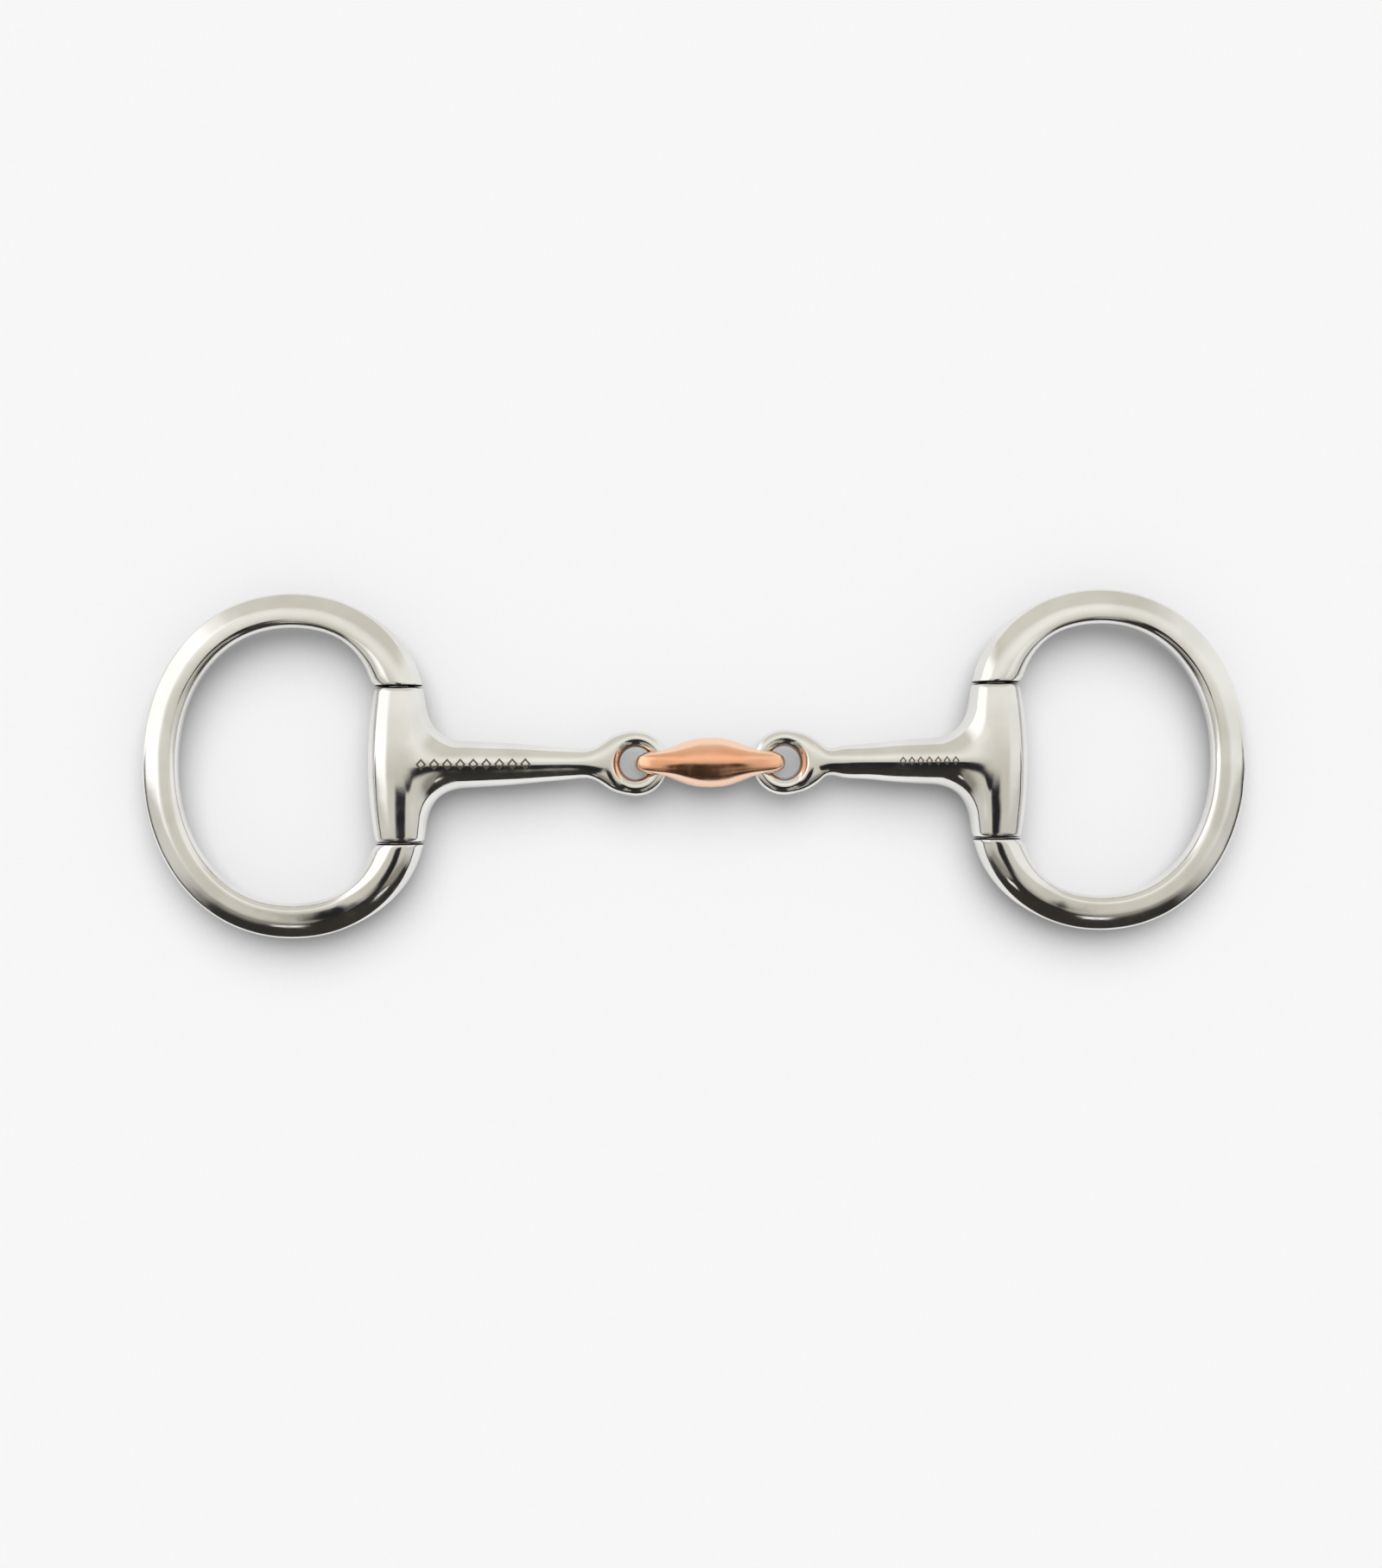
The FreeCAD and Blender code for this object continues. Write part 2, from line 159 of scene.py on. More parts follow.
# Upper half of the ring's section, walked from its outer edge over the ridge to its inner wall:
# distance walked and the surface's tilt there, up positive, in degrees.
LOOP_TILT = [
    (0.00, 90), (0.75, 84), (1.15, 60), (1.55, 41), (2.70, 35), (4.30, 30), (5.30, 26),
    (5.75, 14), (6.50, 9), (7.40, 4), (8.10, 0), (8.60, -4), (8.85, -20), (9.70, -42),
    (10.60, -58), (11.40, -78), (12.30, -88), (13.30, -90),
]
TILT_SOFTNESS = 0.12        # walking distance over which its bends are softened

TINY = 1e-6
DEGREES_PER_RADIAN = 180 / math.pi


# ---- numbers -------------------------------------------------------------------------------

def natural_spline(knots, values):
    """Function through the points with smooth slope and bend."""
    knots = np.asarray(knots, float)
    values = np.asarray(values, float)
    gaps = np.diff(knots)
    count = len(knots)
    matrix = np.eye(count)
    right = np.zeros((count,) + values.shape[1:])
    for i in range(1, count - 1):
        matrix[i, i - 1:i + 2] = gaps[i - 1], 2 * (gaps[i - 1] + gaps[i]), gaps[i]
        right[i] = 6 * ((values[i + 1] - values[i]) / gaps[i]
                        - (values[i] - values[i - 1]) / gaps[i - 1])
    bend = np.linalg.solve(matrix, right)

    def evaluate(places):
        places = np.clip(np.asarray(places, float), knots[0], knots[-1])
        i = np.clip(np.searchsorted(knots, places) - 1, 0, count - 2)
        gap = gaps[i]
        after, before = places - knots[i], knots[i + 1] - places
        if values.ndim > 1:
            gap, after, before = gap[:, None], after[:, None], before[:, None]
        return (bend[i] * before ** 3 + bend[i + 1] * after ** 3) / (6 * gap) \
            + (values[i] / gap - bend[i] * gap / 6) * before \
            + (values[i + 1] / gap - bend[i + 1] * gap / 6) * after

    return evaluate


def between(ends, share):
    """Value between two ends."""
    return ends[0] + (ends[1] - ends[0]) * share


def ease(part):
    """From 0 to 1, level at both ends."""
    part = np.clip(part, 0, 1)
    return part * part * (3 - 2 * part)


def join_round(first, second, radius):
    """Union of two distance fields with a fillet between them."""
    share = np.clip(0.5 + 0.5 * (second - first) / radius, 0, 1)
    return second + (first - second) * share - radius * share * (1 - share)


def cut_round(body, tool, radius):
    """Body without the tool, the edge between them rounded."""
    return -join_round(-body, tool, radius)


def oval_distance(across, deep, half_across, half_deep, power):
    """Distance from an oval, near enough beside its outline; over 2 the power squares it."""
    across, deep = np.abs(across) / half_across, np.abs(deep) / half_deep
    near = (across ** power + deep ** power) ** (1 / power)
    slope = np.hypot(across ** (power - 1) / half_across, deep ** (power - 1) / half_deep)
    slope = slope / np.maximum(near, TINY) ** (power - 1)
    return (near - 1) / np.maximum(slope, TINY)


# ---- meshes --------------------------------------------------------------------------------

def linked(name, data):
    """New object in the scene."""
    item = bpy.data.objects.new(name, data)
    bpy.context.scene.collection.objects.link(item)
    return item


def mesh_of(name, points_mm, faces):
    mesh = bpy.data.meshes.new(name)
    mesh.from_pydata((np.asarray(points_mm, float) * MM).tolist(), [], faces)
    return mesh


def remeshed(node, name, voxel_mm):
    """Even, fine mesh over a CAD node, as a new object."""
    rough = linked(name + "_rough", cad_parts[node].data.copy())
    modifier = rough.modifiers.new("even", "REMESH")
    modifier.mode = "VOXEL"
    modifier.voxel_size = voxel_mm * MM
    bpy.context.view_layer.update()
    mesh = bpy.data.meshes.new_from_object(
        rough.evaluated_get(bpy.context.evaluated_depsgraph_get()))
    bpy.data.objects.remove(rough)
    mesh.name = name
    mesh.materials.clear()
    mesh.shade_smooth()
    return linked(name, mesh)


def stand_in(piece, body, node):
    """Let a piece ride on a body in the place of a CAD node."""
    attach(piece, body)
    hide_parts(node)
    return piece


def points_of(piece):
    """Vertices of a piece in millimetres."""
    flat = np.empty(len(piece.data.vertices) * 3)
    piece.data.vertices.foreach_get("co", flat)
    return flat.reshape(-1, 3) / MM


def set_points(piece, points_mm):
    piece.data.vertices.foreach_set("co", (points_mm * MM).ravel())
    piece.data.update()


def neighbours_mean(piece, points):
    """Mean of each vertex's linked vertices."""
    edges = np.empty(len(piece.data.edges) * 2, int)
    piece.data.edges.foreach_get("vertices", edges)
    edges = edges.reshape(-1, 2)
    total = np.zeros_like(points)
    count = np.zeros(len(points))
    for one, other in ((0, 1), (1, 0)):
        np.add.at(total, edges[:, one], points[edges[:, other]])
        np.add.at(count, edges[:, one], 1)
    return total / count[:, None]


def settle(piece, field, rounds=6, step=0.01, most=0.3):
    """Even out a piece's mesh and bring every vertex onto the surface where field is zero."""
    points = points_of(piece)
    for turn in range(rounds):
        if turn < rounds - 2:
            points = 0.5 * points + 0.5 * neighbours_mean(piece, points)
        for _ in range(2):
            value = field(points)
            slope = np.stack([(field(points + offset) - field(points - offset)) / (2 * step)
                              for offset in np.eye(3) * step], axis=1)
            move = value / np.maximum((slope ** 2).sum(axis=1), 0.05)
            move = np.clip(move, -most, most)
            points = points - move[:, None] * slope
    set_points(piece, points)


# ---- mouthpiece arms -----------------------------------------------------------------------

def arm_field(side):
    """Distance field of one arm, in the frame's millimetres."""
    sign = 1 if side == "left" else -1
    reach = REACH[side]
    stations = [(part * reach, high, deep) for part, high, deep in ARM_TAPER]
    stations += [(reach - before, high, deep) for before, high, deep in EYE_FLARE]
    size_at = natural_spline([s[0] for s in stations], [s[1:] for s in stations])
    shank_end = stations[-1][0]

    def field(points):
        x = sign * points[:, 0] + PIN_X
        y, z = points[:, 1], points[:, 2]
        swell = 1 - (y / BARREL_HALF) ** 2
        radius = BARREL_END + (BARREL_MIDDLE - BARREL_END) * swell
        barrel = oval_distance(x, z, radius, radius, BARREL_POWER)
        barrel = -join_round(-barrel, BARREL_HALF - np.abs(y), 2.2 * BARREL_EDGE)
        high, deep = size_at(x).T
        power = 2 + NECK_SQUARENESS * ease((x - reach + 18) / 14)
        shank = oval_distance(y, z, high, deep, power)
        shank = np.maximum(shank, np.maximum(-x, x - shank_end))
        from_eye = np.hypot(x - reach, y)
        shank = cut_round(shank, from_eye - EYE_RING_RADIUS, EYE_MOUTH_EDGE)
        eye = np.hypot(from_eye - EYE_RING_RADIUS, z) - EYE_TUBE_RADIUS
        # No rounding where barrel and shank both face along Z, as it would raise a bump there.
        barrel_faces_z = np.abs(z) / np.maximum(np.hypot(x, z), TINY)
        shank_faces_z = np.abs(z) / deep ** 2 \
            / np.maximum(np.hypot(y / high ** 2, z / deep ** 2), TINY)
        apart = 1 - barrel_faces_z * shank_faces_z
        root_blend = between(ROOT_BLENDS, apart * ease((x + 2) / 6))
        eye_blend = between(EYE_BLENDS, ease((reach - 2.5 - x) / 5))
        whole = join_round(join_round(barrel, shank, root_blend), eye, eye_blend)
        bore = np.hypot(x, z) - PIN_RADIUS - PIN_CLEARANCE
        return cut_round(whole, bore, BORE_EDGE)

    return field


def make_arm(side, voxel):
    node = f"{side}_mouthpiece_arm"
    piece = remeshed(node, f"{side}_arm_polished", voxel)
    settle(piece, arm_field(side))
    return stand_in(piece, f"{side}_arm", node)


# ---- lozenge -------------------------------------------------------------------------------

lozenge_width_at = natural_spline(*zip(*LOZENGE_OUTLINE))


def lozenge_field(points):
    """Distance field of the copper link, in the frame's millimetres."""
    x, y, z = (points - LOZENGE_CENTRE).T
    part = np.abs(x) / LOZENGE_HALF[0]
    inside = np.clip(1 - part ** LOZENGE_END_POWER, 1e-4, None)
    wide = LOZENGE_HALF[1] * lozenge_width_at(part)
    deep = LOZENGE_HALF[2] * inside ** (1 / LOZENGE_END_POWER)
    power = 2 + LOZENGE_SQUARENESS * ease((part - 0.3) / 0.5)
    body = oval_distance(y, z, wide, deep, power)
    body = np.maximum(body, np.abs(x) - LOZENGE_HALF[0])
    opening = EYE_RING_RADIUS - EYE_TUBE_RADIUS
    level = np.minimum(np.abs(y), HOLE_FLARE_HALF)
    tip_side = EYE_RING_RADIUS - np.sqrt(opening ** 2 - level ** 2) + EYE_SLACK
    inner_side = EYE_TUBE_RADIUS + EYE_SLACK
    radius = (tip_side + inner_side) / 2
    hole_x = HOLE_OFFSET + (tip_side - inner_side) / 2
    hole = np.hypot(np.abs(x) - hole_x, z) - radius
    return cut_round(body, hole, HOLE_EDGE)


def make_lozenge(voxel):
    piece = remeshed("lozenge", "lozenge_copper", voxel)
    settle(piece, lozenge_field)
    return stand_in(piece, "lozenge", "lozenge")


# ---- rings ---------------------------------------------------------------------------------

def walked_along(points):
    """Distance walked to each point of a flat path."""
    return np.concatenate([[0], np.cumsum(np.hypot(*np.diff(points, axis=0).T))])


def ring_path(count):
    """Points along a ring's middle line from the upper butt's end round to the lower one."""
    seam = BARREL_HALF + BARREL_GAP
    centre = RING_HALF_SPAN - RING_REACH
    across = RING_HALF_SPAN - RING_BAND / 2
    up = RING_HALF_HEIGHT - RING_BAND / 2

    def oval(degrees):
        angle = math.radians(degrees)
        side = math.copysign(abs(math.cos(angle)) ** RING_OVAL_POWER, math.cos(angle))
        return (centre + across * side, up * abs(math.sin(angle)) ** RING_OVAL_POWER)

    shoulder = np.array(oval(SHOULDER_DEGREES)) - np.array(SHOULDER_PULL) * BUTT_RADIUS
    upper = [(0, seam), tuple(shoulder)] + [oval(degrees) for degrees in OVAL_DEGREES]
    corners = np.array(upper + [oval(180)] + [(x, -y) for x, y in reversed(upper)])
    lengths = walked_along(corners)
    curve = natural_spline(lengths, corners)
    return curve(np.linspace(0, lengths[-1], count))


def loop_outline(count):
    """Section of the ring as points (across, deep), first on the round butt, then on the loop."""
    steps, near = 2000, 80
    length = LOOP_TILT[-1][0]
    walked = np.linspace(0, length, steps + 1)
    tilt = np.interp(walked, *zip(*LOOP_TILT))
    around = np.arange(-near, near + 1) * length / steps
    weight = np.exp(-0.5 * (around / TILT_SOFTNESS) ** 2)
    padded = np.concatenate([180 - tilt[near:0:-1], tilt, -180 - tilt[-2:-near - 2:-1]])
    tilt = np.convolve(padded, weight / weight.sum(), "valid")
    middle = np.radians((tilt[1:] + tilt[:-1]) / 2)
    across = np.concatenate([[0], np.cumsum(np.cos(middle))])
    deep = np.concatenate([[0], np.cumsum(np.sin(middle))])
    deep -= deep[-1] * walked / length
    across = 1 - 2 * across / across[-1]
    deep /= deep.max()
    turn = 90 * walked / length + (90 - tilt) / 2
    places = np.linspace(0, length, count // 2 + 1)
    upper = np.stack([np.interp(places, walked, row) for row in (turn, across, deep)], axis=1)
    lower = upper[-2:0:-1] * (-1, 1, -1)
    turn, across, deep = np.concatenate([upper, lower]).T
    turn = np.radians(turn)
    return np.stack([np.cos(turn), np.sin(turn)], axis=1), np.stack([across, deep], axis=1)


def ring_body(path, along, from_end, corners):
    """Points of the swept bar, one row for each point of the path."""
    forward = np.gradient(path, along, axis=0)
    forward /= np.hypot(*forward.T)[:, None]
    outward = np.stack([forward[:, 1], -forward[:, 0]], axis=1)
    squared = 1 - ease(from_end / BUTT_SQUARED)
    outward += (np.array([1.0, 0.0]) - outward) * squared[:, None]
    outward /= np.hypot(*outward.T)[:, None]
    butt, loop = loop_outline(corners)
    share = ease(from_end / BUTT_BLEND)[:, None, None]
    section = (1 - share) * butt * BUTT_RADIUS + share * loop * (RING_BAND / 2, RING_CREST)
    flat = path[:, None] + outward[:, None] * section[:, :, :1]
    return np.concatenate([flat, section[:, :, 1:]], axis=2)


def butt_end(row, centre, into):
    """Rows from a butt's rounded rim across its face and down the socket; into is 1 or -1."""
    rim = row - centre
    wide = np.hypot(rim[:, 0], rim[:, 2])[:, None]
    rows = []
    for turn in np.linspace(0, math.pi / 2, 6)[1:]:
        inset = BUTT_EDGE * (1 - math.cos(turn))
        rows.append((centre + rim * (1 - inset / wide), BUTT_EDGE * (math.sin(turn) - 1)))
    for part in (0.35, 0.7, 1.0):
        width = wide - BUTT_EDGE + part * (PIN_RADIUS + BUTT_EDGE - wide)
        rows.append((centre + rim * width / wide, 0.0))
    for deep in (0.5, SOCKET_DEPTH / 2, SOCKET_DEPTH):
        rows.append((centre + rim * PIN_RADIUS / wide, -deep))
    rows.append((centre + rim * 0.05, -SOCKET_DEPTH))
    return [points + np.array([0, into * shift, 0]) for points, shift in rows]


def tube_faces(rows, corners):
    """Faces between rows of points, and one across each end."""
    faces = []
    for row in range(rows - 1):
        for corner in range(corners):
            after = (corner + 1) % corners
            faces.append((row * corners + corner, row * corners + after,
                          (row + 1) * corners + after, (row + 1) * corners + corner))
    faces.append(tuple(range(corners)))
    faces.append(tuple(reversed(range((rows - 1) * corners, rows * corners))))
    return faces


def make_ring(side, stations, corners):
    """Oval ring swept from butt to butt, closed by rounded ends with a blind socket in each."""
    path = ring_path(stations)
    along = walked_along(path)
    from_end = np.minimum(along, along[-1] - along)
    body = ring_body(path, along, from_end, corners)
    first = butt_end(body[0], np.append(path[0], 0), -1)
    last = butt_end(body[-1], np.append(path[-1], 0), 1)
    grid = np.array(first[::-1] + list(body[from_end >= BUTT_EDGE]) + last)
    sign = 1 if side == "left" else -1
    points = (grid.reshape(-1, 3) - (PIN_X, 0, 0)) * (sign, sign, 1)
    mesh = mesh_of(f"{side}_ring_polished", points, tube_faces(len(grid), corners))
    mesh.validate()
    mesh.shade_smooth()
    return stand_in(linked(mesh.name, mesh), f"{side}_ring", f"{side}_ring")


# ---- materials -----------------------------------------------------------------------------

class Nodes:
    """Short names for building a node tree."""

    def __init__(self, name):
        self.material = bpy.data.materials.new(name)
        self.material.use_nodes = True
        self.tree = self.material.node_tree
        self.surface = self.tree.nodes["Principled BSDF"]
        self.place = self.tree.nodes.new("ShaderNodeTexCoord").outputs["Object"]

    def put(self, socket, value):
        """Link a socket to an output, or set it to a number or a colour."""
        if isinstance(value, bpy.types.NodeSocket):
            self.tree.links.new(value, socket)
        elif isinstance(value, tuple) and len(value) == 3 and socket.type == "RGBA":
            socket.default_value = (*value, 1)
        else:
            socket.default_value = value

    def set(self, **values):
        """Put values into the surface shader."""
        for name, value in values.items():
            self.put(self.surface.inputs[name.replace("_", " ")], value)

    def math(self, operation, *values):
        node = self.tree.nodes.new("ShaderNodeMath")
        node.operation = operation
        for socket, value in zip(node.inputs, values):
            self.put(socket, value)
        return node.outputs["Value"]

    def times(self, first, second):
        return self.math("MULTIPLY", first, second)

    def apart(self, first, second):
        """Distance between two numbers."""
        return self.math("ABSOLUTE", self.math("SUBTRACT", first, second))

    def parts(self):
        """Object place in metres as x, y and z."""
        node = self.tree.nodes.new("ShaderNodeSeparateXYZ")
        self.put(node.inputs["Vector"], self.place)
        return list(node.outputs)

    def parts_mm(self):
        return [self.math("DIVIDE", output, MM) for output in self.parts()]

    def scaled(self, x, y, z):
        """Object place in metres, times a scale for each axis."""
        node = self.tree.nodes.new("ShaderNodeMapping")
        self.put(node.inputs["Scale"], (x, y, z))
        self.put(node.inputs["Vector"], self.place)
        return node.outputs["Vector"]

    def noise(self, place, scale, detail=2.0, roughness=0.5):
        node = self.tree.nodes.new("ShaderNodeTexNoise")
        for name, value in (("Vector", place), ("Scale", scale), ("Detail", detail),
                            ("Roughness", roughness)):
            self.put(node.inputs[name], value)
        return node.outputs["Fac"]

    def ramp(self, value, low, high, from_value=0.0, to_value=1.0):
        """Ease from one value to another over a range, clamped; low may be the larger."""
        node = self.tree.nodes.new("ShaderNodeMapRange")
        node.interpolation_type = "SMOOTHSTEP"
        if low > high:
            low, high, from_value, to_value = high, low, to_value, from_value
        for name, number in (("Value", value), ("From Min", low), ("From Max", high),
                             ("To Min", from_value), ("To Max", to_value)):
            self.put(node.inputs[name], number)
        return node.outputs["Result"]

    def glance(self):
        """0 where the surface faces the eye, 1 where it is seen edge on."""
        return self.tree.nodes.new("ShaderNodeLayerWeight").outputs["Facing"]

    def mix(self, share, first, second):
        """Colour between two."""
        node = self.tree.nodes.new("ShaderNodeMix")
        node.data_type = "RGBA"
        self.put(node.inputs["Factor"], share)
        colours = [socket for socket in node.inputs if socket.type == "RGBA"]
        self.put(colours[0], first)
        self.put(colours[1], second)
        return next(socket for socket in node.outputs if socket.type == "RGBA")

    def bump(self, height, depth_mm, normal=None):
        node = self.tree.nodes.new("ShaderNodeBump")
        self.put(node.inputs["Strength"], 1.0)
        self.put(node.inputs["Distance"], depth_mm * MM)
        self.put(node.inputs["Height"], height)
        if normal is not None:
            self.put(node.inputs["Normal"], normal)
        return node.outputs["Normal"]


def painted_seam_shade(n):
    """Share of painted shade, near black, in the gaps between the barrels and the rings' butts."""
    x, y, _ = n.parts_mm()
    from_seam = n.apart(n.math("ABSOLUTE", y), BARREL_HALF + BARREL_GAP / 2)
    beside_pin = n.ramp(n.math("ABSOLUTE", x), PIN_X + 11, PIN_X + 10)
    return n.times(n.ramp(from_seam, 0.55, 0.25), beside_pin)


def eye_painted_reflection(n, eye_x):
    """Share of painted dark brown reflection of the copper link on the wall of an eye's opening.
    """
    x, y, _ = n.parts_mm()
    along = n.math("SUBTRACT", x, eye_x)
    from_eye = n.math("SQRT", n.math("ADD", n.times(along, along), n.times(y, y)))
    return n.ramp(from_eye, 5.0, 4.3, 0.0, 0.7)


def polished_steel(name, marks=None, eye_x=None):
    """Hand-polished stainless steel: slow waves, hairlines and uneven gloss."""
    n = Nodes(name)
    tint = n.ramp(n.noise(n.place, 70.0), 0.35, 0.65)
    colour = n.mix(tint, (0.79, 0.78, 0.75), (0.87, 0.86, 0.84))
    gloss = n.ramp(n.noise(n.place, 160.0, 4.0, 0.6), 0.35, 0.7, 0.07, 0.15)
    # Painted shade: near-black colour and rougher gloss in the gaps beside the barrels' ends.
    seam_shade = painted_seam_shade(n)
    colour = n.mix(seam_shade, colour, (0.015, 0.015, 0.015))
    rough = n.math("MAXIMUM", gloss, n.times(seam_shade, 0.6))
    if eye_x is not None:
        # Painted reflection: the wall of the eye's opening turned dark brown, standing in for the
        # copper link mirrored there.
        colour = n.mix(eye_painted_reflection(n, eye_x), colour, (0.20, 0.15, 0.12))
    if marks is not None:
        etched = marks(n)
        colour = n.mix(etched, colour, (0.20, 0.18, 0.135))
        rough = n.math("MAXIMUM", rough, n.times(etched, 0.5))
    waves = n.bump(n.noise(n.place, 110.0, 1.0), 0.15)
    ripples = n.bump(n.noise(n.place, 420.0, 2.0), 0.010, waves)
    hairlines = n.bump(n.noise(n.scaled(500.0, 4000.0, 4000.0), 1.0, 3.0, 0.6), 0.0015, ripples)
    n.set(Metallic=1.0, Base_Color=colour, Roughness=rough, Normal=hairlines)
    return n.material


def etched_row(first, last, spacing, half_wide, half_high):
    """Row of small plain diamonds etched into the upper face of an arm, from first to last."""
    def marks(n):
        x, y, z = n.parts_mm()
        along = n.math("SUBTRACT", x, first - spacing / 2)
        step = n.math("FRACT", n.math("DIVIDE", along, spacing))
        from_middle = n.times(n.apart(step, 0.5), spacing / half_wide)
        shape = n.math("ADD", from_middle, n.math("DIVIDE", n.math("ABSOLUTE", y), half_high))
        outline = n.math("SUBTRACT", n.ramp(shape, 1.04, 0.96), n.ramp(shape, 0.58, 0.50))
        inside = n.math("LESS_THAN", n.apart(x, (first + last) / 2), (last - first + spacing) / 2)
        return n.times(outline, n.times(inside, n.math("GREATER_THAN", z, 0.0)))
    return marks


def copper(name):
    """Polished copper with slow changes of tone, paler where it is seen edge on."""
    n = Nodes(name)
    tone = n.ramp(n.noise(n.place, 130.0, 3.0), 0.3, 0.7)
    face_on = n.mix(tone, (1.0, 0.50, 0.30), (1.0, 0.56, 0.36))
    colour = n.mix(n.ramp(n.glance(), 0.10, 0.42), face_on, (1.0, 0.70, 0.52))
    waves = n.bump(n.noise(n.place, 180.0, 2.0), 0.12)
    hairlines = n.bump(n.noise(n.scaled(300.0, 4000.0, 4000.0), 1.0, 3.0, 0.6), 0.003, waves)
    n.set(Metallic=1.0, Base_Color=colour, Roughness=n.ramp(tone, 0.0, 1.0, 0.16, 0.25),
          Normal=hairlines)
    return n.material


def pin_steel(name):
    """Plain drawn steel bar with fine turning marks."""
    n = Nodes(name)
    marks = n.noise(n.scaled(500.0, 6000.0, 500.0), 1.0, 3.0)
    n.set(Metallic=1.0, Base_Color=n.mix(marks, (0.48, 0.48, 0.48), (0.62, 0.61, 0.60)),
          Roughness=n.ramp(marks, 0.3, 0.7, 0.25, 0.4), Normal=n.bump(marks, 0.004))
    return n.material


# ---- studio --------------------------------------------------------------------------------

def stage_object(name, points_mm, faces, material):
    mesh = mesh_of(name, points_mm, faces)
    mesh.materials.append(material)
    item = linked(name, mesh)
    return item


def make_floor(level, half=2500):
    """Plain white table that glows a little."""
    n = Nodes("white_table")
    grain = n.noise(n.place, 900.0)
    n.set(Base_Color=n.mix(grain, (0.79, 0.79, 0.79), (0.81, 0.81, 0.81)), Roughness=0.9,
          Specular_IOR_Level=0.0, Emission_Color=(1, 1, 1), Emission_Strength=0.125)
    corners = [(-half, -half, level), (half, -half, level), (half, half, level),
               (-half, half, level)]
    stage_object("floor", corners, [(0, 1, 2, 3)], n.material)


def room_walls(n, x, forward, around):
    """Light wall behind, grey and then dark ahead, and a window on each side."""
    wall = n.mix(n.ramp(forward, -52.0, -20.0), (0.70, 0.68, 0.61), (0.95, 0.93, 0.88))
    wall = n.mix(n.ramp(forward, -22.0, 6.0), wall, (0.66, 0.64, 0.57))
    wall = n.mix(n.ramp(forward, 20.0, 44.0), wall, (0.30, 0.28, 0.24))
    wall = n.mix(n.ramp(forward, 52.0, 64.0), wall, (0.035, 0.033, 0.03))
    window = n.mix(n.ramp(x, -0.05, 0.05), (1.3, 1.3, 1.27), (0.92, 0.92, 0.88))
    window = n.mix(n.ramp(forward, -2.0, 26.0), window, (0.66, 0.65, 0.60))
    return n.mix(around, wall, window)


def room_figure(n, wide, forward, room):
    """A dark figure in front, wider below, and a bright strip on both sides of its middle."""
    reach = n.math("ADD", n.ramp(forward, 22.0, 36.0, 0.20, 0.11),
                   n.ramp(forward, 44.0, 56.0, 0.0, 0.18))
    inside = n.ramp(n.math("SUBTRACT", wide, reach), 0.06, -0.05)
    upright = n.times(n.ramp(forward, 3.0, 9.0), n.ramp(forward, 84.0, 78.0))
    figure = n.mix(n.ramp(forward, 20.0, 75.0), (0.02, 0.02, 0.022), (0.04, 0.036, 0.03))
    seen = n.mix(n.times(inside, upright), room, figure)
    strip = n.times(n.ramp(n.apart(forward, 58.0), 3.5, 2.0), n.ramp(wide, 0.13, 0.18))
    return n.mix(n.times(strip, n.ramp(wide, 0.34, 0.26)), seen, (1.0, 1.0, 0.96))


def room_material():
    """What the metal mirrors; angles are in degrees from straight up, forward is towards -Y."""
    n = Nodes("room")
    x, y, z = n.parts()
    wide = n.math("ABSOLUTE", x)
    flat = n.math("SQRT", n.math("ADD", n.times(x, x), n.times(y, y)))
    from_top = n.times(n.math("ARCTAN2", flat, z), DEGREES_PER_RADIAN)
    forward = n.times(n.math("ARCTAN2", n.times(y, -1.0), z), DEGREES_PER_RADIAN)
    sideways = n.math("DIVIDE", wide, flat)
    around = n.mix(n.ramp(forward, 0.0, 20.0), n.ramp(sideways, 0.55, 0.85),
                   n.ramp(sideways, 0.72, 0.92))
    around = n.times(around, n.ramp(from_top, 32.0, 46.0))
    seen = room_figure(n, wide, forward, room_walls(n, x, forward, around))
    low_down = n.times(n.ramp(from_top, 81.0, 87.0), n.ramp(forward, -60.0, 0.0))
    n.set(Base_Color=(0, 0, 0), Roughness=1.0, Specular_IOR_Level=0.0,
          Emission_Color=n.mix(low_down, seen, (0.04, 0.04, 0.04)), Emission_Strength=1.0)
    n.material.cycles.emission_sampling = "NONE"
    return n.material


def make_room(radius=900, degrees=95, rows=24, columns=64):
    """Dome round the bit that only mirror reflections see."""
    points = [(0, 0, radius)]
    faces = []
    for row in range(1, rows + 1):
        tilt = math.radians(degrees) * row / rows
        for column in range(columns):
            turn = 2 * math.pi * column / columns
            points.append((radius * math.sin(tilt) * math.cos(turn),
                           radius * math.sin(tilt) * math.sin(turn), radius * math.cos(tilt)))
    for column in range(columns):
        after = (column + 1) % columns
        faces.append((0, 1 + column, 1 + after))
        for row in range(rows - 1):
            start = 1 + row * columns
            faces.append((start + column, start + columns + column, start + columns + after,
                          start + after))
    dome = stage_object("room", points, faces, room_material())
    for kind in ("camera", "diffuse", "shadow", "transmission", "volume_scatter"):
        setattr(dome, f"visible_{kind}", False)


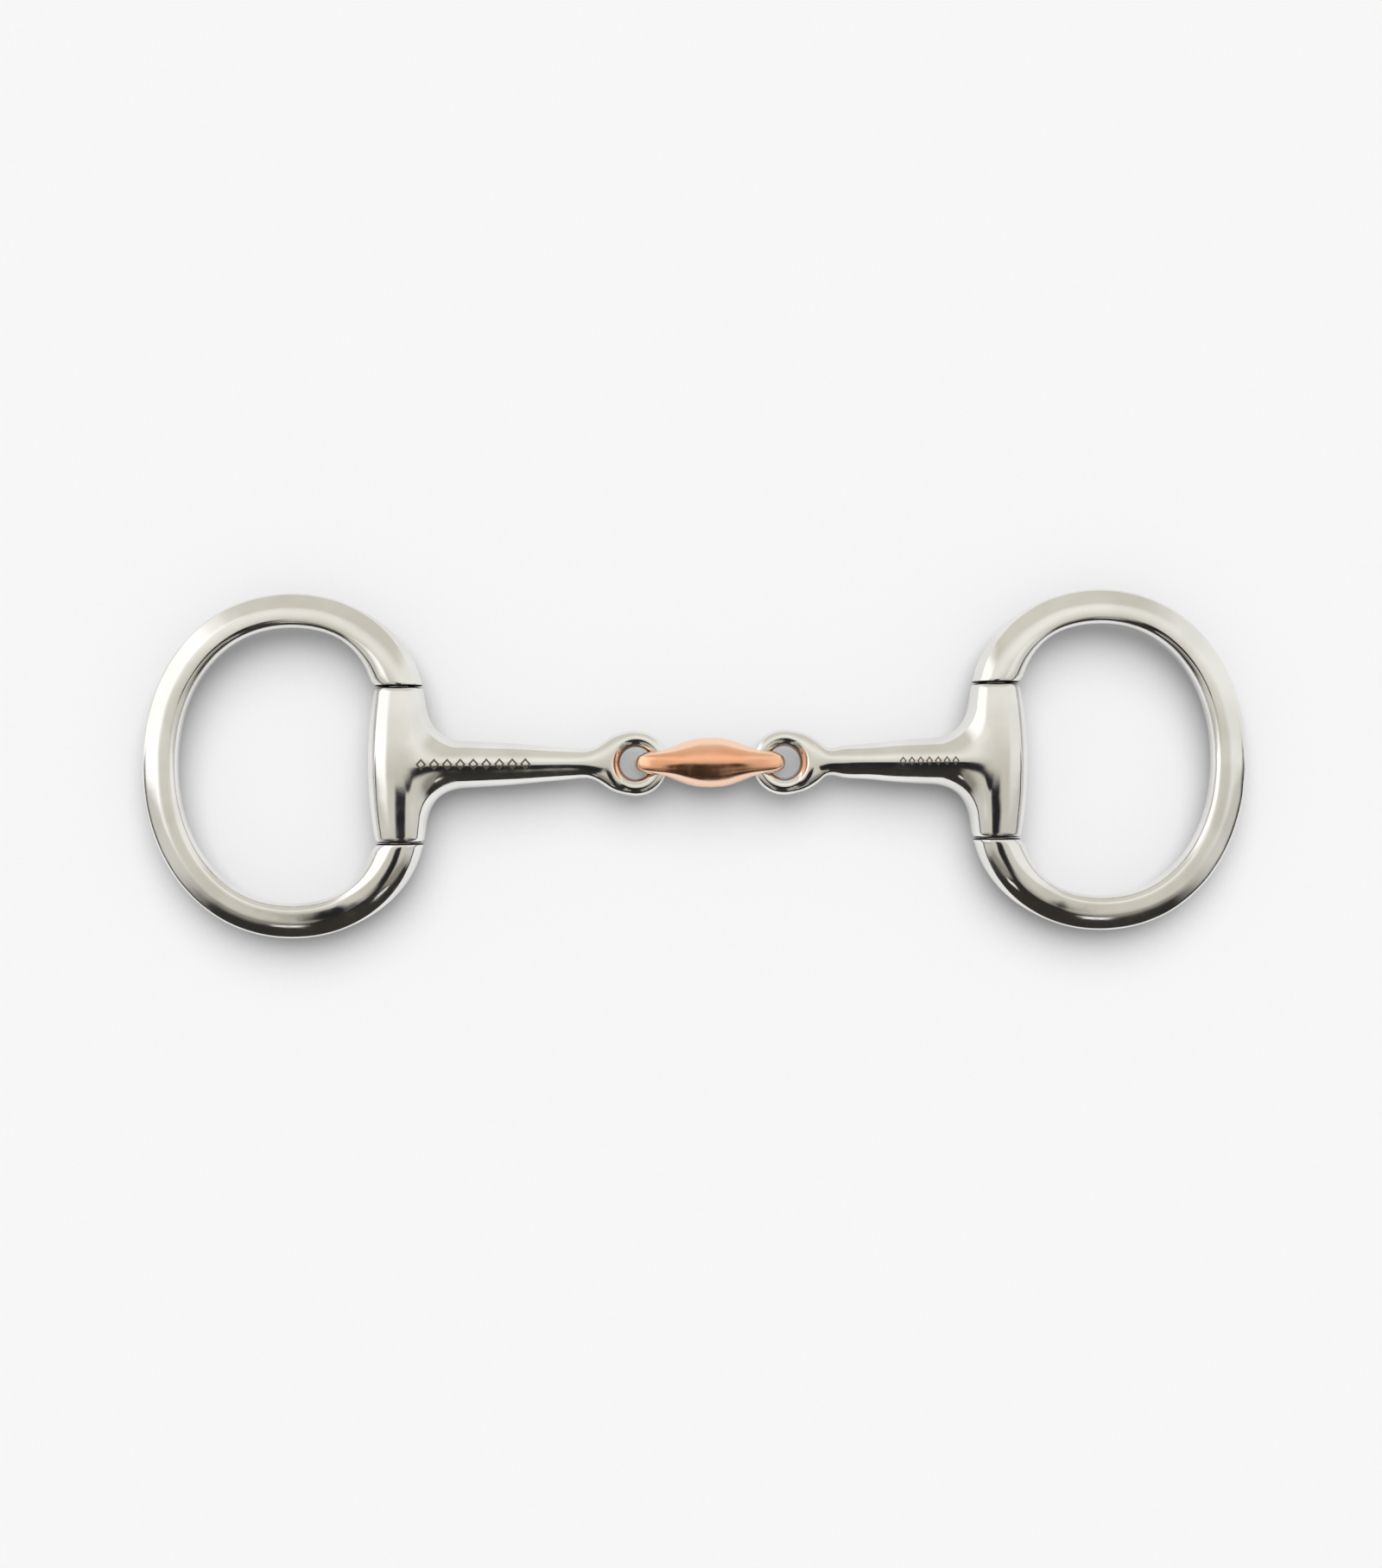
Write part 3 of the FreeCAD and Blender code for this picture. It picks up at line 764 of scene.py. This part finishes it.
def make_light():
    """Even white light from all round, and a broad soft light from the upper side."""
    world = bpy.data.worlds.new("sky")
    bpy.context.scene.world = world
    world.use_nodes = True
    background = world.node_tree.nodes["Background"]
    background.inputs["Color"].default_value = (1, 1, 1, 1)
    background.inputs["Strength"].default_value = 0.30
    sun = bpy.data.lights.new("soft_lamp", "SUN")
    sun.angle = math.radians(60)
    sun.energy = 2.62
    lamp = linked("soft_lamp", sun)
    lamp.rotation_euler = (math.radians(-32), 0, 0)
    lamp.visible_glossy = False


def make_camera():
    """Looks straight down, a little from the left, and turned by half a degree."""
    target = Vector((-2.1, -5.4, 0))
    place = target + Vector((-22.8, 0, 600))
    roll = math.radians(0.46)
    camera = bpy.data.cameras.new("camera")
    camera.lens = 54.17
    camera.clip_start = 0.01
    item = linked("camera", camera)
    back = (place - target).normalized()
    right = Vector((math.cos(roll), -math.sin(roll), 0))
    right = (right - back * right.dot(back)).normalized()
    up = back.cross(right)
    turn = Matrix((right, up, back)).transposed().to_4x4()
    item.matrix_world = Matrix.Translation(place * MM) @ turn
    bpy.context.scene.camera = item


# ---- the whole picture ---------------------------------------------------------------------

ARM_VOXEL, LOZENGE_VOXEL, RING_STATIONS, RING_CORNERS = 0.22, 0.16, 420, 96

steel = polished_steel("polished_steel")
arm_steel = {
    "left": polished_steel(
        "left_arm_steel", eye_x=REACH["left"] - PIN_X,
        marks=etched_row(first=-70.0, last=-44.0, spacing=3.25, half_wide=1.35, half_high=1.5)),
    "right": polished_steel(
        "right_arm_steel", eye_x=PIN_X - REACH["right"],
        marks=etched_row(first=51.5, last=64.7, spacing=2.2, half_wide=0.9, half_high=1.2)),
}
for side in ("left", "right"):
    make_arm(side, ARM_VOXEL).data.materials.append(arm_steel[side])
    make_ring(side, RING_STATIONS, RING_CORNERS).data.materials.append(steel)
make_lozenge(LOZENGE_VOXEL).data.materials.append(copper("bright_copper"))

bar = pin_steel("pin_steel")
for side in ("left", "right"):
    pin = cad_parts[f"{side}_hinge_pin"]
    pin.data.materials.clear()
    pin.data.materials.append(bar)

make_floor(CAD_LOW[2] / MM - FLOOR_GAP)
make_room()
make_light()
make_camera()
bpy.context.scene.view_settings.view_transform = "Standard"
bpy.context.scene.cycles.caustics_reflective = False
